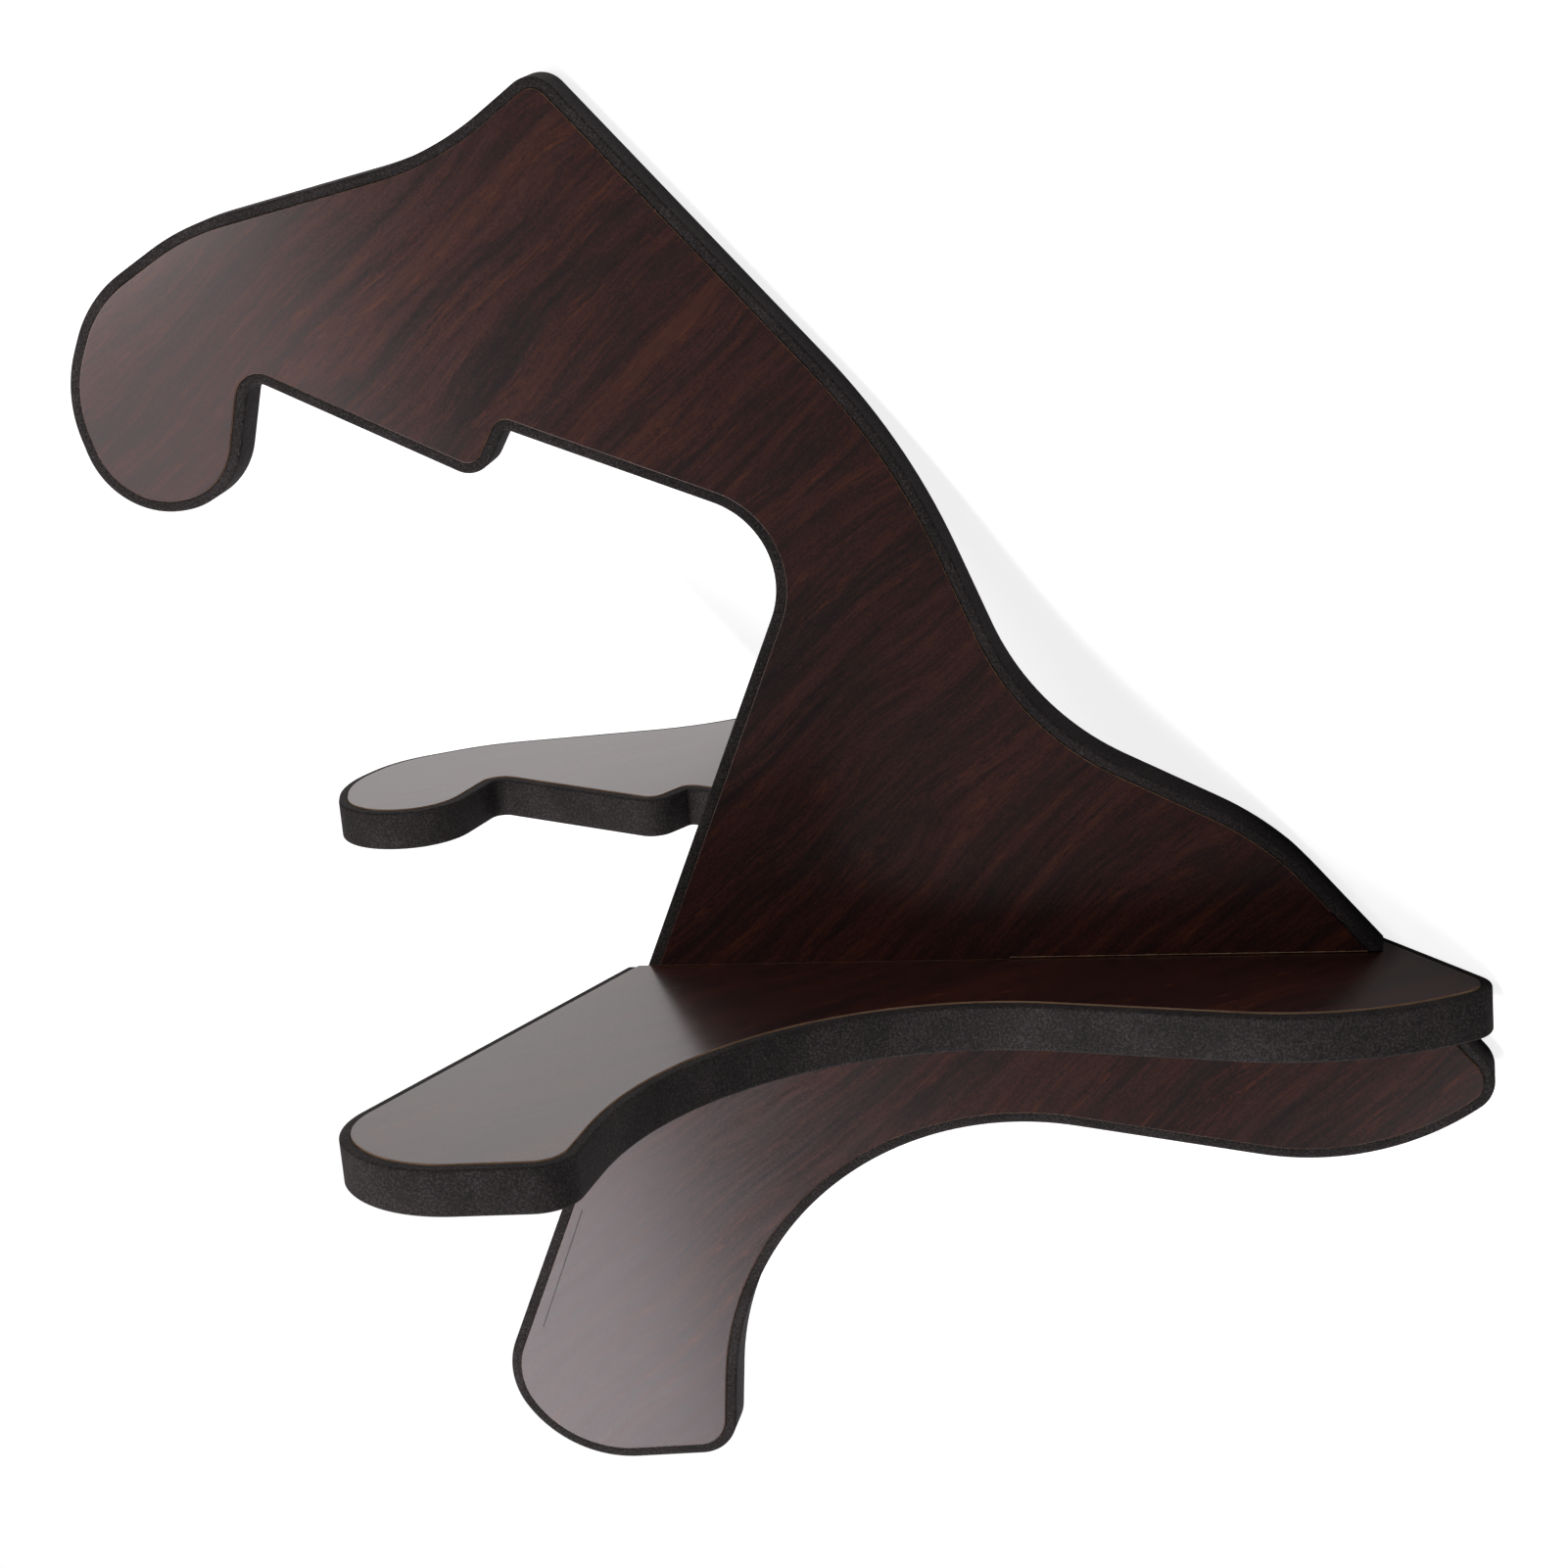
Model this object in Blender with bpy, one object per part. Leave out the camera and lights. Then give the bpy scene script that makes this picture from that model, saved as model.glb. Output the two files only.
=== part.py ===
"""A take-apart guitar stand: two foam-edged walnut boards that slot together at right angles."""

import math

import bmesh
import bpy
from mathutils import Matrix, Vector

MM = 0.001

# Half thicknesses, from the middle of a board outward
CORE_HALF = 5.5 * MM
FOAM_HALF = 6.1 * MM
LAMINATE_INSIDE = 5.8 * MM
LAMINATE_OUTSIDE = 6.3 * MM

# Foam strip, as distances out from the edge of the board
FOAM_GAP = 0.3 * MM
FOAM_OUTER = 2.9 * MM
SHARPEST_CORNER = 0.4 * MM

# The crossing: each board's slot takes half of its width
SLOT_HALF_WIDTH = 6.6 * MM
SLOT_MEETING = 96.0 * MM
SLOT_END_GAP = 0.3 * MM
SLOT_RUN_OUT = 160.0 * MM
CUTTER_DEPTH = 30.0 * MM

# How the boards stand: the crossing axis dips toward the rear, the floor edges lie flat
FLOOR_EDGE_ANGLE = math.radians(50.0)
FLOOR_EDGE_DISTANCE = 147.3 * MM
FOOT_PRESS = 0.6 * MM
REAR_SHIFT = 1.9 * MM
FLOOR_CUTTER_SIZE = 0.6
FLOOR_CUTTER_HEIGHT = 0.02

# Rounding of the outline: how far a facet may stray from its arc
ARC_ERROR = 0.05 * MM

# Corners of a board's face and the radius of each, in millimetres.
# The first number runs down the crossing axis, the second out from it.
BOARD_CORNERS = (
    ("seat root", 54.5, 122.0, 26.0),
    ("step root", -24.5, 154.5, 4.0),
    ("step tip", -32.0, 141.5, 4.0),
    ("hook root", -91.0, 171.5, 6.5),
    ("hook tip, inside", -99.5, 138.0, 17.0),
    ("hook tip, outside", -128.5, 134.5, 19.5),
    ("hook back, low", -137.0, 165.0, 32.5),
    ("hook back, high", -127.5, 188.0, 30.5),
    ("hook shoulder", -101.0, 204.0, 60.0),
    ("instep", -33.0, 218.0, 81.0),
    ("front foot", -6.5, 236.5, 4.5),
    ("arch, front", 75.0, 139.5, 171.0),
    ("arch, middle", 102.5, 67.0, 70.0),
    ("arch, rear", 163.0, 35.5, 75.0),
    ("rear foot", 217.5, -30.5, 6.0),
    ("above the rear foot", 187.5, -51.5, 73.0),
    ("neck", 19.5, -22.0, 86.5),
    ("back-rest top, rear", 7.5, -134.0, 8.0),
    ("back-rest top, middle", -35.0, -137.0, 30.0),
    ("back-rest top, front", -50.5, -114.0, 18.0),
)

LEFT = -1
RIGHT = 1
SIDE_NAMES = {LEFT: "left_board", RIGHT: "right_board"}


def clear_scene():
    for obj in list(bpy.data.objects):
        bpy.data.objects.remove(obj)


def new_collection(name):
    collection = bpy.data.collections.new(name)
    bpy.context.scene.collection.children.link(collection)
    return collection


def principled(name, color, roughness, coat=0.0):
    material = bpy.data.materials.new(name)
    material.use_nodes = True
    shader = material.node_tree.nodes["Principled BSDF"]
    shader.inputs["Base Color"].default_value = (*color, 1.0)
    shader.inputs["Roughness"].default_value = roughness
    shader.inputs["Coat Weight"].default_value = coat
    return material


def walnut_laminate():
    return principled("walnut_laminate", (0.048, 0.018, 0.014), 0.35, coat=0.3)


def fibreboard():
    return principled("fibreboard", (0.33, 0.20, 0.11), 0.85)


def foam():
    return principled("foam", (0.020, 0.019, 0.019), 0.9)


# Outline of a board


def rounded_corner(before, corner, after, radius, offset):
    """The arc that rounds one corner of an outline moved out by offset."""
    arriving = (corner - before).normalized()
    leaving = (after - corner).normalized()
    out_before = Vector((-arriving.y, arriving.x))
    out_after = Vector((-leaving.y, leaving.x))
    moved = corner + (out_before + out_after) * offset / (1 + out_before.dot(out_after))
    turn = math.atan2(arriving.cross(leaving), arriving.dot(leaving))
    side = math.copysign(1, turn)
    radius = max(radius - side * offset, SHARPEST_CORNER)
    centre = moved - arriving * radius * abs(math.tan(turn / 2)) + out_before * side * radius
    steps = math.ceil(abs(turn) / (2 * math.acos(1 - ARC_ERROR / radius)))
    spoke = out_before * -side * radius
    return [centre + Matrix.Rotation(turn * i / steps, 2) @ spoke for i in range(steps + 1)]


def board_outline(offset=0.0):
    corners = [Vector((u, v)) * MM for _, u, v, _ in BOARD_CORNERS]
    radii = [radius * MM for _, _, _, radius in BOARD_CORNERS]
    points = []
    for i, (corner, radius) in enumerate(zip(corners, radii)):
        after = corners[(i + 1) % len(corners)]
        points += rounded_corner(corners[i - 1], corner, after, radius, offset)
    return points


def flat_shape(name, outlines, half_thickness, collection):
    """A solid cut from sheet: the first outline is the edge, any other one a hole."""
    curve = bpy.data.curves.new(name, "CURVE")
    curve.dimensions = "2D"
    curve.fill_mode = "BOTH"
    curve.extrude = half_thickness
    for outline in outlines:
        spline = curve.splines.new("POLY")
        spline.points.add(len(outline) - 1)
        spline.use_cyclic_u = True
        for point, place in zip(spline.points, outline):
            point.co = (place.x, place.y, 0.0, 1.0)
    drawn = bpy.data.objects.new(name + "_outline", curve)
    bpy.context.scene.collection.objects.link(drawn)
    evaluated = drawn.evaluated_get(bpy.context.evaluated_depsgraph_get())
    mesh = bpy.data.meshes.new_from_object(evaluated)
    mesh.name = name
    bpy.data.objects.remove(drawn)
    weld_caps(mesh)
    obj = bpy.data.objects.new(name, mesh)
    collection.objects.link(obj)
    return obj


def weld_caps(mesh):
    shape = bmesh.new()
    shape.from_mesh(mesh)
    bmesh.ops.remove_doubles(shape, verts=shape.verts, dist=0.001 * MM)
    bmesh.ops.recalc_face_normals(shape, faces=shape.faces)
    shape.to_mesh(mesh)
    shape.free()


def box(name, low, high, collection):
    shape = bmesh.new()
    bmesh.ops.create_cube(shape, size=1.0)
    size = Vector(high) - Vector(low)
    middle = (Vector(high) + Vector(low)) / 2
    bmesh.ops.scale(shape, vec=size, verts=shape.verts)
    bmesh.ops.translate(shape, vec=middle, verts=shape.verts)
    mesh = bpy.data.meshes.new(name)
    shape.to_mesh(mesh)
    shape.free()
    obj = bpy.data.objects.new(name, mesh)
    collection.objects.link(obj)
    obj.hide_render = True
    obj.display_type = "WIRE"
    return obj


def cut(obj, cutter):
    boolean = obj.modifiers.new(cutter.name, "BOOLEAN")
    boolean.operation = "DIFFERENCE"
    boolean.solver = "EXACT"
    boolean.object = cutter


# The parts of one board, drawn flat and then stood in place


def slot_cutter(side, cutters):
    """The left board's slot opens at the floor edge, the right board's at the back-rest."""
    if side == LEFT:
        start, end = SLOT_MEETING, SLOT_MEETING + SLOT_RUN_OUT
    else:
        end = SLOT_MEETING + SLOT_END_GAP
        start = end - SLOT_RUN_OUT
    low = (start, -SLOT_HALF_WIDTH, -CUTTER_DEPTH)
    high = (end, SLOT_HALF_WIDTH, CUTTER_DEPTH)
    return box(SIDE_NAMES[side] + "_slot_cutter", low, high, cutters)


def core(name, collection):
    return flat_shape(name + "_core", [board_outline()], CORE_HALF, collection)


def laminate(name, face, level, collection):
    half = (LAMINATE_OUTSIDE - LAMINATE_INSIDE) / 2
    obj = flat_shape(f"{name}_{face}_laminate", [board_outline()], half, collection)
    obj.location.z = level * (LAMINATE_OUTSIDE + LAMINATE_INSIDE) / 2
    return obj


def foam_edging(name, collection):
    outlines = [board_outline(FOAM_OUTER), board_outline(FOAM_GAP)]
    return flat_shape(name + "_foam_edging", outlines, FOAM_HALF, collection)


def board_pose(side):
    """Stands a flat board on its floor edge, leaning out from the crossing axis."""
    dip = math.atan(math.tan(FLOOR_EDGE_ANGLE) / math.sqrt(2))
    along = Vector((0.0, math.cos(dip), -math.sin(dip)))
    down = Vector((0.0, -math.sin(dip), -math.cos(dip)))
    out = (Vector((side, 0.0, 0.0)) + down) / math.sqrt(2)
    normal = along.cross(out)
    turned = Matrix((along, out, normal)).transposed().to_4x4()
    edge = FLOOR_EDGE_DISTANCE + FOAM_OUTER
    drop = edge * math.hypot(out.z, along.z) + FOAM_HALF * abs(normal.z)
    return Matrix.Translation((0.0, REAR_SHIFT, drop - FOOT_PRESS)) @ turned


def board(side, parts, cutters, floor_cutter, materials):
    name = SIDE_NAMES[side]
    axis = bpy.data.objects.new(name, None)
    parts.objects.link(axis)
    axis.matrix_world = board_pose(side)
    slot = slot_cutter(side, cutters)
    outward = -side
    pieces = {
        core(name, parts): "fibreboard",
        laminate(name, "outer", outward, parts): "walnut_laminate",
        laminate(name, "inner", -outward, parts): "walnut_laminate",
        foam_edging(name, parts): "foam",
    }
    slot.parent = axis
    for obj, material in pieces.items():
        obj.parent = axis
        obj.data.materials.append(materials[material])
        cut(obj, slot)
        if material == "foam":
            cut(obj, floor_cutter)


def guitar_stand():
    clear_scene()
    parts = new_collection("guitar_stand")
    cutters = new_collection("cutters")
    materials = {material.name: material for material in (walnut_laminate(), fibreboard(), foam())}
    reach = FLOOR_CUTTER_SIZE / 2
    low = (-reach, -reach, -FLOOR_CUTTER_HEIGHT)
    floor_cutter = box("floor_cutter", low, (reach, reach, 0.0), cutters)
    for side in (LEFT, RIGHT):
        board(side, parts, cutters, floor_cutter, materials)


guitar_stand()
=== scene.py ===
import math

import bmesh
import bpy
from mathutils import Matrix, Vector


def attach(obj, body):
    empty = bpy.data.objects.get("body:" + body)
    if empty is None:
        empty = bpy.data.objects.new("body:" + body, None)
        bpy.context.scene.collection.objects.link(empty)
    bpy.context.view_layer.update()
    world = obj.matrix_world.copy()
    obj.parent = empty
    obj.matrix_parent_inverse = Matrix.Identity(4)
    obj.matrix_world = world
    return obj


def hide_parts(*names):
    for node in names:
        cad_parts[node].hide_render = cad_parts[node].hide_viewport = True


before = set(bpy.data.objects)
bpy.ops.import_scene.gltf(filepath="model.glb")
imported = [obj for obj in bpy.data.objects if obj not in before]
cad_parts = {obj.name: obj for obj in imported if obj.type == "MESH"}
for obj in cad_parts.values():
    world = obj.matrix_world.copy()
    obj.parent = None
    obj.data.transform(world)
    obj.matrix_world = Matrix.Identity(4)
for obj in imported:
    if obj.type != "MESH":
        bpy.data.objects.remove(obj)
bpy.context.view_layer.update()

MM = 0.001

LEFT = -1
RIGHT = 1
SIDES = {LEFT: "left_board", RIGHT: "right_board"}

# Outline of a board's face and the radius of each corner, in millimetres, as in the part's source.
# The first number runs down the crossing axis, the second out from it.
BOARD_CORNERS = (
    (54.5, 122.0, 26.0),
    (-24.5, 154.5, 4.0),
    (-32.0, 141.5, 4.0),
    (-91.0, 171.5, 6.5),
    (-99.5, 138.0, 17.0),
    (-128.5, 134.5, 19.5),
    (-137.0, 165.0, 32.5),
    (-127.5, 188.0, 30.5),
    (-101.0, 204.0, 60.0),
    (-33.0, 218.0, 81.0),
    (-6.5, 236.5, 4.5),
    (75.0, 139.5, 171.0),
    (102.5, 67.0, 70.0),
    (163.0, 35.5, 75.0),
    (217.5, -30.5, 6.0),
    (187.5, -51.5, 73.0),
    (19.5, -22.0, 86.5),
    (7.5, -134.0, 8.0),
    (-35.0, -137.0, 30.0),
    (-50.5, -114.0, 18.0),
)
SHARPEST_CORNER = 0.4
# How far a facet may stray from its arc at the widest offset, which sets the count at every offset
ARC_ERROR = 0.012
WIDEST_OFFSET = 3.0

# How a board stands, in millimetres but for the angle
FLOOR_EDGE_ANGLE = math.radians(50.0)
FLOOR_EDGE_DISTANCE = 147.3
FOAM_OUTER = 2.9
CAD_FOAM_HALF = 6.1
FOOT_PRESS = 0.6
REAR_SHIFT = 1.9

# What cuts the pieces, in millimetres: the slots on the flat board, the floor in the world
SLOT_HALF_WIDTH = 6.6
SLOT_MEETING = 96.0
SLOT_END_GAP = 0.3
SLOT_RUN_OUT = 160.0
CUTTER_DEPTH = 30.0
FLOOR_CUTTER = ((-300.0, -300.0, -20.0), (300.0, 300.0, 0.0))

# Sections, as (offset outward, height above the middle, wear), in millimetres but for the wear
CORE_HALF = 5.79
CORE_EDGE = -0.02
CORE_SECTION = ((CORE_EDGE, -CORE_HALF, 0.0), (CORE_EDGE, CORE_HALF, 0.0))
LAMINATE_SECTION = (
    (0.0, 5.8, 1.0),
    (0.0, 6.25, 1.0),
    (-0.03, 6.29, 0.72),
    (-0.07, 6.3, 0.30),
    (-0.3, 6.3, 0.0),
)
FOAM_HALF = 5.92
FOAM_INNER = 0.02
FOAM_OUTER_ROUND = 0.7
FOAM_INNER_ROUND = 0.25
OUTER_ROUND_STEPS = 6
INNER_ROUND_STEPS = 3
# Faces that meet at more than this are shaded with an edge between them
SHARP_ANGLE = math.radians(35.0)


# Meshes


def new_object(name, shape):
    """An object in the scene, made of a bmesh, which is freed."""
    mesh = bpy.data.meshes.new(name)
    shape.to_mesh(mesh)
    shape.free()
    obj = bpy.data.objects.new(name, mesh)
    bpy.context.scene.collection.objects.link(obj)
    return obj


def rounded_corner(before, corner, after, radius, offset):
    """The arc round one corner of the outline moved out by offset, as many points at any offset."""
    arriving = (corner - before).normalized()
    leaving = (after - corner).normalized()
    out_before = Vector((-arriving.y, arriving.x))
    out_after = Vector((-leaving.y, leaving.x))
    moved = corner + (out_before + out_after) * offset / (1 + out_before.dot(out_after))
    turn = math.atan2(arriving.cross(leaving), arriving.dot(leaving))
    side = math.copysign(1, turn)
    widest = radius + WIDEST_OFFSET
    steps = math.ceil(abs(turn) / (2 * math.acos(1 - ARC_ERROR / widest)))
    radius = max(radius - side * offset, SHARPEST_CORNER)
    centre = moved - arriving * radius * abs(math.tan(turn / 2)) + out_before * side * radius
    spoke = out_before * -side * radius
    return [centre + Matrix.Rotation(turn * i / steps, 2) @ spoke for i in range(steps + 1)]


def board_outline(offset):
    corners = [Vector((u, v)) for u, v, _ in BOARD_CORNERS]
    points = []
    for i, corner in enumerate(corners):
        after = corners[(i + 1) % len(corners)]
        points += rounded_corner(corners[i - 1], corner, after, BOARD_CORNERS[i][2], offset)
    return points


def swept(name, section, closed, flip=1):
    """Carries a section round the board's outline. An open section is capped at both ends."""
    shape = bmesh.new()
    wear = shape.verts.layers.float.new("wear")
    rings = []
    for offset, height, worn in section:
        ring = []
        for point in board_outline(offset):
            vertex = shape.verts.new((point.x * MM, point.y * MM, height * flip * MM))
            vertex[wear] = worn
            ring.append(vertex)
        rings.append(ring)
    pairs = list(zip(rings, rings[1:]))
    if closed:
        pairs.append((rings[-1], rings[0]))
    else:
        shape.faces.new(rings[0])
        shape.faces.new(rings[-1])
    for ring, other in pairs:
        for i in range(len(ring)):
            shape.faces.new((ring[i - 1], ring[i], other[i], other[i - 1]))
    bmesh.ops.triangulate(shape, faces=[face for face in shape.faces if len(face.verts) > 4])
    bmesh.ops.recalc_face_normals(shape, faces=shape.faces)
    return new_object(name, shape)


def foam_section():
    """A rectangle with rounded corners, as (offset, height, wear) all the way round."""
    outer, outer_height = FOAM_OUTER - FOAM_OUTER_ROUND, FOAM_HALF - FOAM_OUTER_ROUND
    inner, inner_height = FOAM_INNER + FOAM_INNER_ROUND, FOAM_HALF - FOAM_INNER_ROUND
    corners = (
        (outer, outer_height, FOAM_OUTER_ROUND, OUTER_ROUND_STEPS),
        (inner, inner_height, FOAM_INNER_ROUND, INNER_ROUND_STEPS),
        (inner, -inner_height, FOAM_INNER_ROUND, INNER_ROUND_STEPS),
        (outer, -outer_height, FOAM_OUTER_ROUND, OUTER_ROUND_STEPS),
    )
    section = []
    for quarter, (x, z, radius, steps) in enumerate(corners):
        for i in range(steps + 1):
            angle = (quarter + i / steps) * math.pi / 2
            section.append((x + radius * math.cos(angle), z + radius * math.sin(angle), 0.0))
    return section


def box(name, low, high):
    shape = bmesh.new()
    bmesh.ops.create_cube(shape, size=1.0)
    low, high = Vector(low) * MM, Vector(high) * MM
    bmesh.ops.scale(shape, vec=high - low, verts=shape.verts)
    bmesh.ops.translate(shape, vec=(low + high) / 2, verts=shape.verts)
    return new_object(name, shape)


def cut(obj, cutters):
    """Cuts the shapes of cutters out of obj and keeps the result as its mesh."""
    for cutter in cutters:
        boolean = obj.modifiers.new(cutter.name, "BOOLEAN")
        boolean.operation = "DIFFERENCE"
        boolean.solver = "EXACT"
        boolean.object = cutter
    evaluated = obj.evaluated_get(bpy.context.evaluated_depsgraph_get())
    mesh = bpy.data.meshes.new_from_object(evaluated)
    obj.modifiers.clear()
    obj.data = mesh


def board_pose(side):
    """Stands a flat board on its floor edge, leaning out from the crossing axis."""
    dip = math.atan(math.tan(FLOOR_EDGE_ANGLE) / math.sqrt(2))
    along = Vector((0.0, math.cos(dip), -math.sin(dip)))
    down = Vector((0.0, -math.sin(dip), -math.cos(dip)))
    out = (Vector((side, 0.0, 0.0)) + down) / math.sqrt(2)
    normal = along.cross(out)
    turned = Matrix((along, out, normal)).transposed().to_4x4()
    edge = FLOOR_EDGE_DISTANCE + FOAM_OUTER
    drop = edge * math.hypot(out.z, along.z) + CAD_FOAM_HALF * abs(normal.z)
    return Matrix.Translation((0.0, REAR_SHIFT * MM, (drop - FOOT_PRESS) * MM)) @ turned


# Shader nodes


def add(tree, kind, inputs=(), **settings):
    """A shader node with its settings, its inputs linked where they are sockets."""
    node = tree.nodes.new("ShaderNode" + kind)
    for key, value in settings.items():
        setattr(node, key, value)
    for key, value in dict(inputs).items():
        if isinstance(value, bpy.types.NodeSocket):
            tree.links.new(value, node.inputs[key])
        else:
            node.inputs[key].default_value = value
    return node


def math_node(tree, operation, a, b=0.0, clamp=False):
    return add(tree, "Math", {0: a, 1: b}, operation=operation, use_clamp=clamp).outputs[0]


def times(tree, a, b):
    return math_node(tree, "MULTIPLY", a, b)


def dot(tree, vector, direction):
    node = add(tree, "VectorMath", {0: vector, 1: direction}, operation="DOT_PRODUCT")
    return node.outputs["Value"]


def graded(tree, value, start, end, first, last):
    """Runs from first to last while value runs from start to end, and stops there."""
    return add(tree, "MapRange", {0: value, 1: start, 2: end, 3: first, 4: last}).outputs[0]


def summed(tree, parts):
    result = parts[0]
    for part in parts[1:]:
        result = math_node(tree, "ADD", result, part)
    return result


def swing(tree, layer, weight):
    """How far a noise layer is from its middle, times weight."""
    return times(tree, math_node(tree, "SUBTRACT", layer, 0.5), weight)


def fading(tree, distance, reach):
    """One at no distance, falling to nothing at reach on either side."""
    share = math_node(tree, "DIVIDE", math_node(tree, "ABSOLUTE", distance), reach)
    return math_node(tree, "SUBTRACT", 1.0, share, clamp=True)


def noise(tree, place, layer):
    size, detail, roughness, seed = layer
    scale = [1 / (length * MM) for length in size]
    mapped = add(tree, "Mapping", {"Vector": place, "Scale": scale, "Location": (seed, seed, seed)})
    settings = {"Vector": mapped.outputs[0], "Scale": 1.0, "Detail": detail, "Roughness": roughness}
    return add(tree, "TexNoise", settings).outputs["Fac"]


def ramp(tree, factor, stops):
    """A colour ramp through stops of (value, colour), or of (value, grey level)."""
    node = add(tree, "ValToRGB", {"Fac": factor})
    elements = node.color_ramp.elements
    while len(elements) < len(stops):
        elements.new(0.5)
    for element, (position, color) in zip(elements, stops):
        element.position = position
        element.color = (*color, 1.0) if hasattr(color, "__len__") else (color, color, color, 1.0)
    return node.outputs["Color"]


def mix(tree, factor, a, b):
    """The colour a where factor is nothing, b where it is one."""
    node = add(tree, "Mix", data_type="RGBA")
    sockets = [s for s in node.inputs if s.enabled and s.type in ("VALUE", "RGBA")]
    for socket, value in zip(sockets, (factor, a, b)):
        if isinstance(value, bpy.types.NodeSocket):
            tree.links.new(value, socket)
        else:
            socket.default_value = (*value, 1.0) if hasattr(value, "__len__") else value
    return [s for s in node.outputs if s.enabled][0]


def new_material(name):
    material = bpy.data.materials.new(name)
    material.use_nodes = True
    tree = material.node_tree
    return material, tree, tree.nodes["Principled BSDF"]


def raise_surface(tree, shader, height, depth):
    bump = add(tree, "Bump", {"Height": height, "Strength": 1.0, "Distance": depth})
    tree.links.new(bump.outputs[0], shader.inputs["Normal"])


# Materials


# Noise layers, as (size of the features, detail, roughness, seed). The size is along the grain,
# across it and into the board, in millimetres.
WAVE = ((90.0, 40.0, 40.0), 2.0, 0.5, 3.1)
BANDS = ((120.0, 8.0, 30.0), 2.0, 0.5, 7.7)
STREAKS = ((42.0, 2.1, 10.0), 3.0, 0.55, 1.3)
FIBRES = ((7.0, 0.5, 4.0), 2.0, 0.5, 5.9)
SPECKLE = ((0.6, 0.6, 0.6), 2.0, 0.7, 2.2)
SMOKE = ((34.0, 13.0, 20.0), 3.0, 0.6, 4.6)
FLECKS = ((6.0, 1.1, 4.0), 3.0, 0.65, 9.2)
RED = ((60.0, 3.6, 20.0), 3.0, 0.5, 11.0)
CHIPS = ((1.6, 1.6, 1.6), 3.0, 0.65, 8.4)
FIBREBOARD_GRAIN = ((0.25, 0.25, 0.25), 3.0, 0.6, 0.0)
FIBREBOARD_CLOUDS = ((9.0, 9.0, 3.0), 2.0, 0.5, 0.0)
FIBREBOARD_FUZZ = ((0.3, 0.3, 0.3), 3.0, 0.7, 0.0)
FOAM_GRAIN = ((0.6, 0.6, 0.6), 3.0, 0.7, 0.0)
FOAM_CLOUDS = ((14.0, 14.0, 14.0), 2.0, 0.5, 0.0)

# Each board's walnut: name, place in the print in metres, shift of its tone, roughness
WALNUT = {
    LEFT: ("walnut_left", (0.0, 0.0, 0.0), 0.0, 0.17),
    RIGHT: ("walnut_right", (0.31, -0.17, 0.05), -0.02, 0.22),
}
# The grain's angle to the crossing axis, and how widely it wanders, in millimetres
GRAIN_ANGLE = math.radians(40.0)
GRAIN_WANDER = 24.0

# The tone of the wood: its middle, the weight of bands, streaks, fibres and speckle, and its ramp
TONE_MIDDLE = 0.5
TONE_WEIGHTS = (0.66, 0.64, 0.58, 0.85)
WOOD_TONES = (
    (0.22, (0.0080, 0.0042, 0.0045)),
    (0.40, (0.0190, 0.0062, 0.0056)),
    (0.56, (0.0310, 0.0082, 0.0060)),
    (0.74, (0.0470, 0.0130, 0.0078)),
)
# What is laid over the tone: the share of each colour, as a ramp of the layer that it follows
RED_BROWN = (0.068, 0.0175, 0.0080)
RED_IN_RED = ((0.46, 0.0), (0.74, 0.60))
RED_IN_TONE = ((0.38, 0.15), (0.6, 1.0))
ORANGE_BROWN = (0.118, 0.030, 0.011)
ORANGE_IN_RED = ((0.50, 0.0), (0.66, 1.0))
ORANGE_IN_FLECKS = ((0.52, 0.0), (0.74, 0.65))
SMOKE_BROWN = (0.0085, 0.0050, 0.0052)
BROWN_IN_SMOKE = ((0.56, 0.0), (0.76, 0.65))

# Wear at the rims: how far sawn edges show it, in millimetres, how ragged it is, where it shows
SLOT_RIM = {LEFT: 0.50, RIGHT: 0.22}
CHIP_WEIGHT = 0.9
WORN_THROUGH = ((0.60, 0.0), (0.68, 1.0))

# A fine crease in the left board's outer face: its ends and half its width, in millimetres
CREASE = ((-25.6, -64.0), (-40.4, -99.0))
CREASE_HALF_WIDTH = 0.22
CREASE_BROWN = (0.004, 0.003, 0.003)

# What each adds to the walnut's roughness
SPECKLE_ROUGHNESS = 0.10
STREAK_ROUGHNESS = 0.11
WORN_ROUGHNESS = 0.45
CREASE_ROUGHNESS = 0.40

WALNUT_SPECULAR = 0.43
WALNUT_COAT = 0.22
WALNUT_COAT_ROUGHNESS = 0.50
SPECKLE_HEIGHT = 0.5

# Fibreboard and foam. A mix is the share of the grain, then of the clouds.
FIBREBOARD_MIX = (0.6, 0.4)
FIBREBOARD_TONES = (
    (0.3, (0.15, 0.085, 0.045)),
    (0.5, (0.30, 0.185, 0.105)),
    (0.7, (0.46, 0.31, 0.19)),
)
FIBREBOARD_ROUGHNESS = 0.85
FOAM_CELL = 0.55
FOAM_MIX = (0.8, 0.2)
FOAM_TONES = (
    (0.36, (0.0105, 0.0095, 0.0095)),
    (0.5, (0.0245, 0.0212, 0.0214)),
    (0.64, (0.057, 0.0500, 0.0505)),
)
FOAM_ROUGHNESS = 0.78
FOAM_SPECULAR = 0.12

# How deep each surface's bumps are, in metres
WALNUT_BUMP = 0.000004
FIBREBOARD_BUMP = 0.00006
FOAM_BUMP = 0.00008


def flat_place(tree):
    """The place on the flat board, in metres: down the crossing axis, out from it and up."""
    return add(tree, "Attribute", attribute_name="place").outputs["Vector"]


def board_place(tree, offset=(0.0, 0.0, 0.0), turn=0.0):
    """The place on the board, moved by offset and then turned about the face's normal."""
    moved = add(tree, "Mapping", {"Vector": flat_place(tree), "Location": offset})
    turned = add(tree, "Mapping", {"Vector": moved.outputs[0], "Rotation": (0.0, 0.0, turn)})
    return turned.outputs[0]


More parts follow.
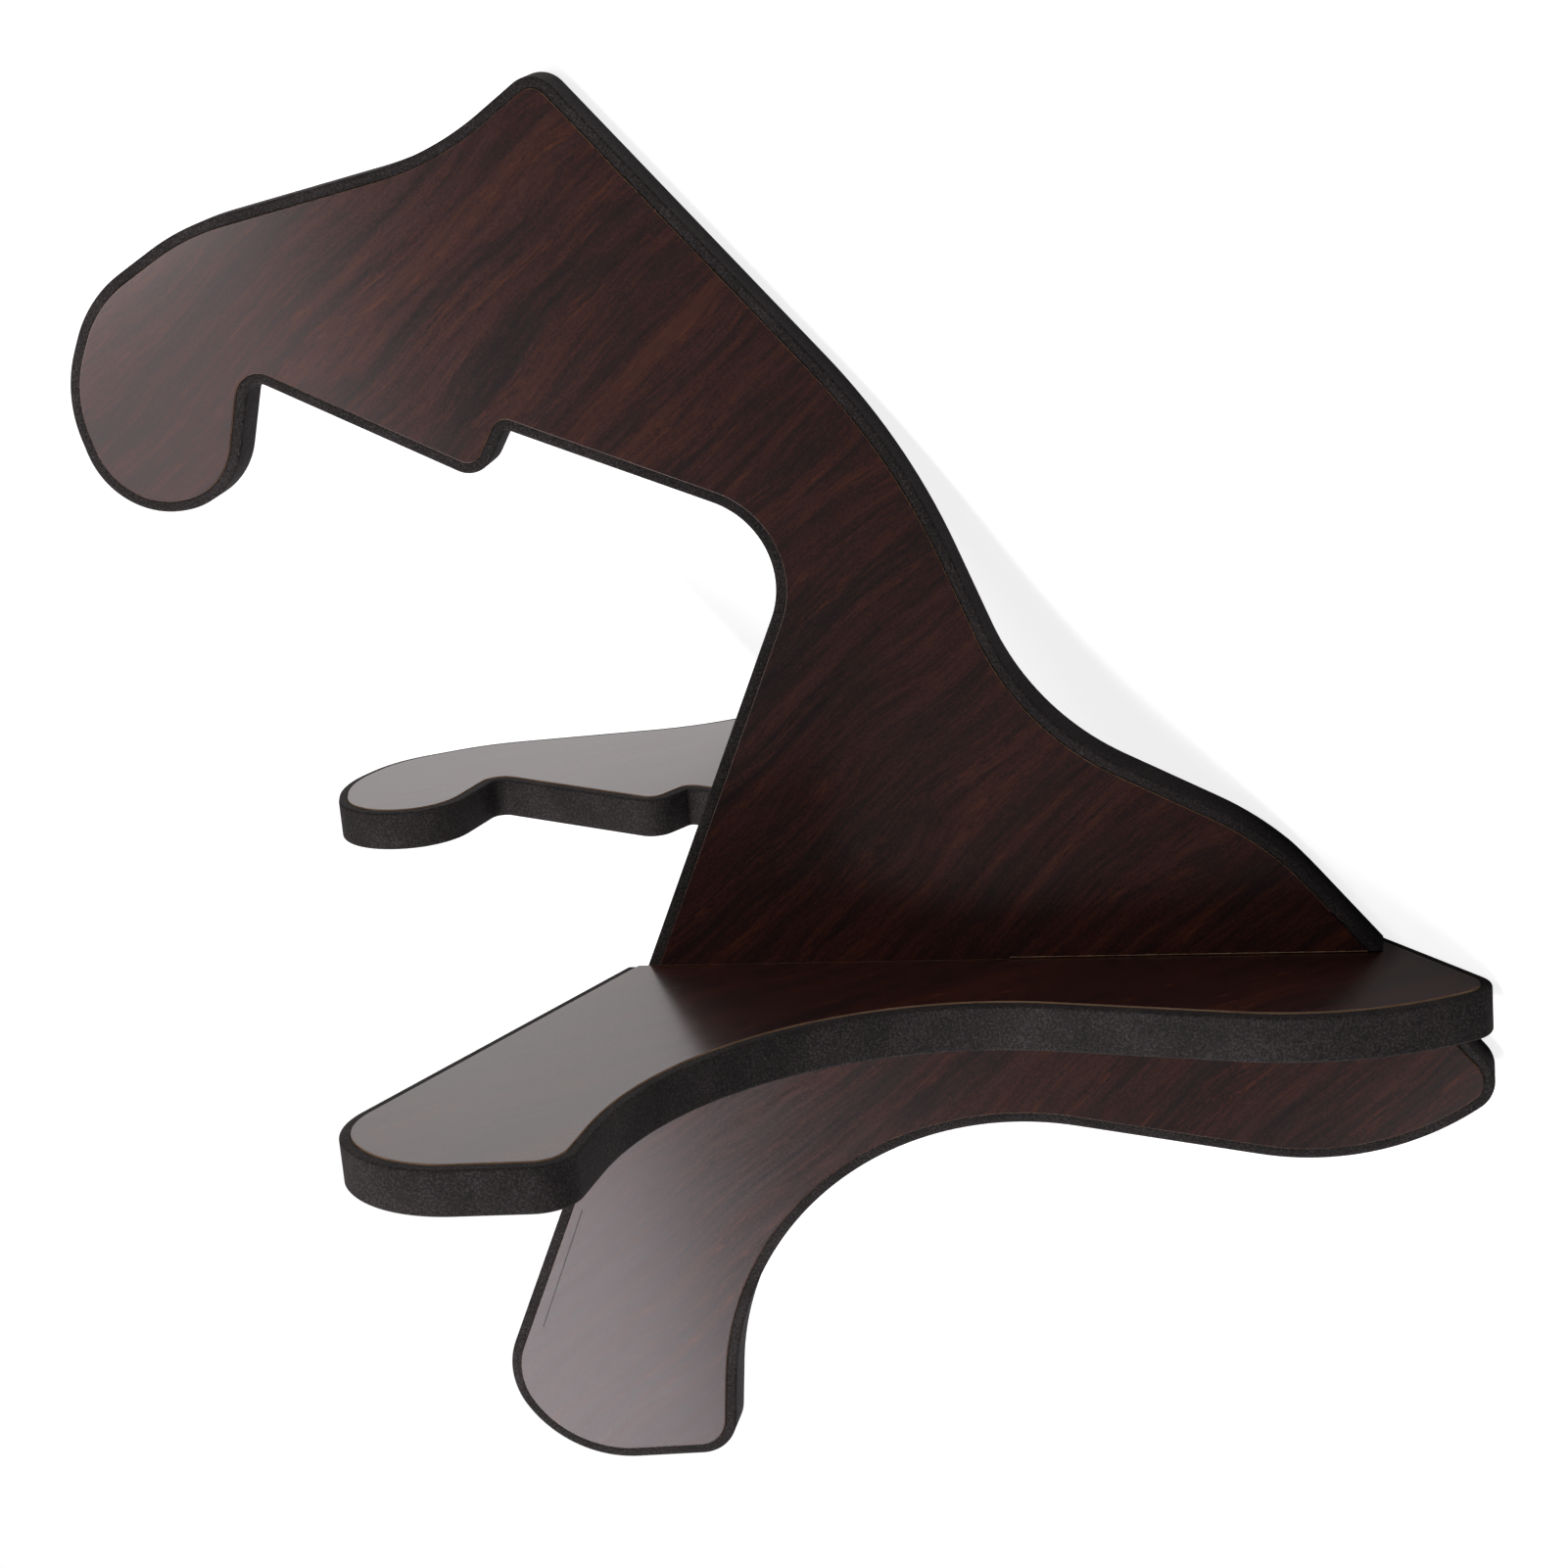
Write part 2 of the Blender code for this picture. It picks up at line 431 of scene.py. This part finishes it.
def mixed(tree, layers, shares):
    pairs = zip(layers, shares)
    return summed(tree, [times(tree, layer, share) for layer, share in pairs])


def raw_fibreboard(tree):
    """The colour of raw fibreboard."""
    place = board_place(tree)
    grain = noise(tree, place, FIBREBOARD_GRAIN)
    clouds = noise(tree, place, FIBREBOARD_CLOUDS)
    return ramp(tree, mixed(tree, (grain, clouds), FIBREBOARD_MIX), FIBREBOARD_TONES)


def slot_rim(tree, side):
    """One at the sawn edges of the board's slot, falling to nothing SLOT_RIM away from them."""
    along, across, _ = add(tree, "SeparateXYZ", {0: flat_place(tree)}).outputs
    from_middle = math_node(tree, "ABSOLUTE", across)
    from_edge = math_node(tree, "SUBTRACT", from_middle, SLOT_HALF_WIDTH * MM)
    near = fading(tree, from_edge, SLOT_RIM[side] * MM)
    slotted = "GREATER_THAN" if side == LEFT else "LESS_THAN"
    return times(tree, near, math_node(tree, slotted, along, SLOT_MEETING * MM))


def crease(tree):
    """One along the crease, falling to nothing beside it, on the board's upper face alone."""
    start, end = (Vector((*point, 0.0)) * MM for point in CREASE)
    along = (end - start).normalized()
    beside = Vector((-along.y, along.x, 0.0))
    place = flat_place(tree)
    run = add(tree, "VectorMath", {0: place, 1: start}, operation="SUBTRACT").outputs[0]
    near = fading(tree, dot(tree, run, beside), CREASE_HALF_WIDTH * MM)
    far = dot(tree, run, along)
    begun = math_node(tree, "GREATER_THAN", far, 0.0)
    unfinished = math_node(tree, "LESS_THAN", far, (end - start).length)
    within = times(tree, begun, unfinished)
    height = add(tree, "SeparateXYZ", {0: place}).outputs[2]
    upper = math_node(tree, "GREATER_THAN", height, 0.0)
    return times(tree, near, times(tree, within, upper))


def walnut_material(side):
    """Walnut print: wavy fibres, dark bands, red streaks and a fine speckle, worn at the rims."""
    name, offset, tone_shift, roughness = WALNUT[side]
    material, tree, shader = new_material(name)
    place = board_place(tree, offset, -GRAIN_ANGLE)
    wander = swing(tree, noise(tree, place, WAVE), GRAIN_WANDER * MM)
    x, y, z = add(tree, "SeparateXYZ", {0: place}).outputs
    across = math_node(tree, "ADD", y, wander)
    bent = add(tree, "CombineXYZ", {0: x, 1: across, 2: z}).outputs[0]
    streaks = noise(tree, bent, STREAKS)
    fibres = noise(tree, bent, FIBRES)
    speckle = noise(tree, place, SPECKLE)
    red = noise(tree, bent, RED)

    layers = zip((noise(tree, bent, BANDS), streaks, fibres, speckle), TONE_WEIGHTS)
    tone = summed(tree, [swing(tree, layer, weight) for layer, weight in layers])
    tone = math_node(tree, "ADD", tone, TONE_MIDDLE + tone_shift, clamp=True)
    color = ramp(tree, tone, WOOD_TONES)
    red_share = times(tree, ramp(tree, red, RED_IN_RED), ramp(tree, tone, RED_IN_TONE))
    color = mix(tree, red_share, color, RED_BROWN)
    flecks = ramp(tree, noise(tree, bent, FLECKS), ORANGE_IN_FLECKS)
    orange_share = times(tree, ramp(tree, red, ORANGE_IN_RED), flecks)
    color = mix(tree, orange_share, color, ORANGE_BROWN)
    smoke = noise(tree, bent, SMOKE)
    color = mix(tree, ramp(tree, smoke, BROWN_IN_SMOKE), color, SMOKE_BROWN)

    wear = add(tree, "Attribute", attribute_name="wear").outputs["Fac"]
    wear = math_node(tree, "MAXIMUM", wear, slot_rim(tree, side))
    chips = swing(tree, noise(tree, place, CHIPS), CHIP_WEIGHT)
    worn = ramp(tree, math_node(tree, "ADD", wear, chips), WORN_THROUGH)
    color = mix(tree, worn, color, raw_fibreboard(tree))
    rough = [
        swing(tree, speckle, SPECKLE_ROUGHNESS),
        swing(tree, streaks, STREAK_ROUGHNESS),
        times(tree, worn, WORN_ROUGHNESS),
    ]
    if side == LEFT:
        creased = crease(tree)
        color = mix(tree, creased, color, CREASE_BROWN)
        rough.append(times(tree, creased, CREASE_ROUGHNESS))
    tree.links.new(color, shader.inputs["Base Color"])
    tree.links.new(summed(tree, rough + [roughness]), shader.inputs["Roughness"])
    shader.inputs["Specular IOR Level"].default_value = WALNUT_SPECULAR
    shader.inputs["Coat Weight"].default_value = WALNUT_COAT
    shader.inputs["Coat Roughness"].default_value = WALNUT_COAT_ROUGHNESS
    height = math_node(tree, "ADD", fibres, times(tree, speckle, SPECKLE_HEIGHT))
    raise_surface(tree, shader, height, WALNUT_BUMP)
    return material


def fibreboard_material():
    material, tree, shader = new_material("fibreboard_core")
    tree.links.new(raw_fibreboard(tree), shader.inputs["Base Color"])
    shader.inputs["Roughness"].default_value = FIBREBOARD_ROUGHNESS
    fuzz = noise(tree, board_place(tree), FIBREBOARD_FUZZ)
    raise_surface(tree, shader, fuzz, FIBREBOARD_BUMP)
    return material


def foam_material():
    """Closed-cell foam: charcoal, with small cells that catch the light."""
    material, tree, shader = new_material("charcoal_foam")
    place = board_place(tree)
    scale = 1 / (FOAM_CELL * MM)
    cells = add(tree, "TexVoronoi", {"Vector": place, "Scale": scale}, feature="F1")
    grain = noise(tree, place, FOAM_GRAIN)
    clouds = noise(tree, place, FOAM_CLOUDS)
    color = ramp(tree, mixed(tree, (grain, clouds), FOAM_MIX), FOAM_TONES)
    tree.links.new(color, shader.inputs["Base Color"])
    shader.inputs["Roughness"].default_value = FOAM_ROUGHNESS
    shader.inputs["Specular IOR Level"].default_value = FOAM_SPECULAR
    height = math_node(tree, "ADD", cells.outputs["Distance"], grain)
    raise_surface(tree, shader, height, FOAM_BUMP)
    return material


# The pieces of one board


def finished(obj, pose, material):
    """Stands the piece up. Each point keeps its place on the board for the materials."""
    mesh = obj.data
    flat = [value for vertex in mesh.vertices for value in vertex.co]
    place = mesh.attributes.new("place", "FLOAT_VECTOR", "POINT")
    place.data.foreach_set("vector", flat)
    mesh.transform(pose)
    mesh.materials.clear()
    mesh.materials.append(material)
    mesh.shade_smooth()
    mesh.set_sharp_from_angle(angle=SHARP_ANGLE)


def board(side, walnut, fibreboard, foam):
    """The left board's slot opens at the rear end of the axis, the right board's at the front."""
    body = SIDES[side]
    pose = board_pose(side)
    if side == LEFT:
        start, end = SLOT_MEETING, SLOT_MEETING + SLOT_RUN_OUT
    else:
        end = SLOT_MEETING + SLOT_END_GAP
        start = end - SLOT_RUN_OUT
    low = (start, -SLOT_HALF_WIDTH, -CUTTER_DEPTH)
    high = (end, SLOT_HALF_WIDTH, CUTTER_DEPTH)
    slot_cutter = box("slot_cutter", low, high)
    floor_cutter = box("floor_cutter", *FLOOR_CUTTER)
    floor_cutter.matrix_world = pose.inverted()
    core = swept(body + "_core_panel", CORE_SECTION, False)
    outer = swept(body + "_outer_face", LAMINATE_SECTION, False, -side)
    inner = swept(body + "_inner_face", LAMINATE_SECTION, False, side)
    strip = swept(body + "_foam_strip", foam_section(), True)
    pieces = (
        ("core", core, fibreboard, "fibreboard"),
        ("outer_laminate", outer, walnut, "walnut_laminate"),
        ("inner_laminate", inner, walnut, "walnut_laminate"),
        ("foam_edging", strip, foam, "foam"),
    )
    for node, obj, material, slot_name in pieces:
        cut(obj, [slot_cutter, floor_cutter] if node == "foam_edging" else [slot_cutter])
        finished(obj, pose, material)
        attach(obj, body)
        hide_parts(f"{body}_{node}")
    bpy.data.objects.remove(slot_cutter)
    bpy.data.objects.remove(floor_cutter)


def guitar_stand():
    walnut = {side: walnut_material(side) for side in SIDES}
    fibreboard = fibreboard_material()
    foam = foam_material()
    for side in SIDES:
        board(side, walnut[side], fibreboard, foam)


# Floor, backdrop, lamps and camera


CAMERA_PLACE = Vector((-0.80902, 0.40687, 0.27071))
CAMERA_RIGHT = Vector((0.190874, 0.704275, -0.683787))
CAMERA_UP = Vector((-0.461393, -0.550478, -0.695766))
CAMERA_FORWARD = Vector((0.86642, -0.448298, -0.219875))
CAMERA_LENS = 78.935
SENSOR = 36.0

WHITE = (1.0, 1.0, 1.0)
SKY = (0.04, 0.04, 0.04)
# The backdrop in gloss, as two parts: a direction, how far the ray runs along it where the level
# starts and stops changing, and the level at each of these
BEHIND = ((0.888, -0.459, 0.0), (-0.3, 0.3), (0.0, 0.5))
ABOVE_FRONT = ((0.0, 0.8, -0.6), (-0.34, 0.05), (0.11, 0.0))

FLOOR_RADIUS = 6.0
FLOOR_SEGMENTS = 96
FLOOR_GREY = (0.50, 0.50, 0.50, 1.0)
# The floor's own glow: its centre, the distances it runs between, and its level at each
CAMERA_GLOW = ((0.0, 0.0, 0.0), (0.25, 1.6), (0.84, 1.0))
GLOSS_GLOW = ((0.0, 0.17, 0.0), (0.08, 0.36), (0.055, 0.81))
GLOSS_TINT = (1.0, 0.965, 0.965)

# Softboxes: centre, the point each faces, width and depth in metres, radiance and colour
SOFTBOXES = (
    ((-0.385, 0.475, 1.5), (-0.385, 0.475, 0.0), (0.54, 0.46), 6.7, (1.0, 0.94, 0.99)),
    ((-0.99, 0.04, 1.5), (-0.99, 0.04, 0.0), (0.55, 0.62), 2.4, (1.0, 0.89, 0.91)),
    ((0.45, 0.45, 1.5), (0.0, 0.0, 0.1), (1.1, 1.1), 6.95, (1.0, 0.97, 0.97)),
    ((-0.36, -0.25, 0.36), (-0.12, -0.12, 0.10), (0.30, 0.30), 2.6, (1.0, 0.96, 0.96)),
    ((-0.62, 1.62, 1.5), (0.0, 0.1, 0.1), (0.5, 0.5), 1.4, (1.0, 0.95, 0.97)),
)
# Each one's turn about the way it faces. The width of one facing down runs along (0.88, 0.475).
SOFTBOX_TURN = math.atan2(0.475, 0.88)


def backdrop():
    """White to the camera. In gloss, half as bright behind the object, faint above its front."""
    world = bpy.data.worlds.new("studio")
    bpy.context.scene.world = world
    world.use_nodes = True
    tree = world.node_tree
    background = tree.nodes["Background"]
    path = add(tree, "LightPath").outputs
    ray = add(tree, "TexCoord").outputs["Generated"]
    levels = []
    for direction, (start, end), (first, last) in (BEHIND, ABOVE_FRONT):
        levels.append(graded(tree, dot(tree, ray, direction), start, end, first, last))
    gloss = math_node(tree, "MAXIMUM", *levels)
    plain = mix(tree, path["Is Glossy Ray"], SKY, gloss)
    seen = math_node(tree, "MAXIMUM", path["Is Camera Ray"], path["Is Transmission Ray"])
    tree.links.new(mix(tree, seen, plain, WHITE), background.inputs["Color"])
    background.inputs["Strength"].default_value = 1.0


def floor():
    """A grey disc with a glow of its own, so that it looks white and still takes a shadow."""
    shape = bmesh.new()
    bmesh.ops.create_circle(shape, cap_ends=True, segments=FLOOR_SEGMENTS, radius=FLOOR_RADIUS)
    obj = new_object("floor", shape)
    material, tree, shader = new_material("pale_floor")
    tree.nodes.remove(shader)
    surface = add(tree, "BsdfDiffuse", {"Color": FLOOR_GREY})
    position = add(tree, "NewGeometry").outputs["Position"]
    levels = []
    for centre, (near, far), (first, last) in (CAMERA_GLOW, GLOSS_GLOW):
        distance = add(tree, "VectorMath", {0: position, 1: centre}, operation="DISTANCE")
        levels.append(graded(tree, distance.outputs["Value"], near, far, first, last))
    path = add(tree, "LightPath").outputs
    seen = math_node(tree, "MAXIMUM", path["Is Camera Ray"], path["Is Transmission Ray"])
    seen = times(tree, seen, levels[0])
    mirrored = times(tree, path["Is Glossy Ray"], levels[1])
    tint = mix(tree, path["Is Glossy Ray"], WHITE, GLOSS_TINT)
    strength = math_node(tree, "ADD", seen, mirrored)
    glow = add(tree, "Emission", {"Color": tint, "Strength": strength})
    both = add(tree, "AddShader", {0: surface.outputs[0], 1: glow.outputs[0]})
    tree.links.new(both.outputs[0], tree.nodes["Material Output"].inputs["Surface"])
    obj.data.materials.append(material)


def softboxes():
    for place, target, size, radiance, color in SOFTBOXES:
        lamp = bpy.data.lights.new("softbox", "AREA")
        lamp.shape = "RECTANGLE"
        lamp.size, lamp.size_y = size
        lamp.energy = radiance * math.pi * size[0] * size[1]
        lamp.color = color
        obj = bpy.data.objects.new("softbox", lamp)
        facing = (Vector(target) - Vector(place)).to_track_quat("-Z", "Y").to_matrix().to_4x4()
        spin = Matrix.Rotation(SOFTBOX_TURN, 4, "Z")
        obj.matrix_world = Matrix.Translation(place) @ facing @ spin
        obj.visible_camera = False
        bpy.context.scene.collection.objects.link(obj)


def camera():
    data = bpy.data.cameras.new("camera")
    data.sensor_width = SENSOR
    data.lens = CAMERA_LENS
    obj = bpy.data.objects.new("camera", data)
    turned = Matrix((CAMERA_RIGHT, CAMERA_UP, -CAMERA_FORWARD)).transposed().to_4x4()
    obj.matrix_world = Matrix.Translation(CAMERA_PLACE) @ turned
    bpy.context.scene.collection.objects.link(obj)
    bpy.context.scene.camera = obj


guitar_stand()
backdrop()
floor()
softboxes()
camera()
bpy.context.scene.view_settings.view_transform = "Standard"
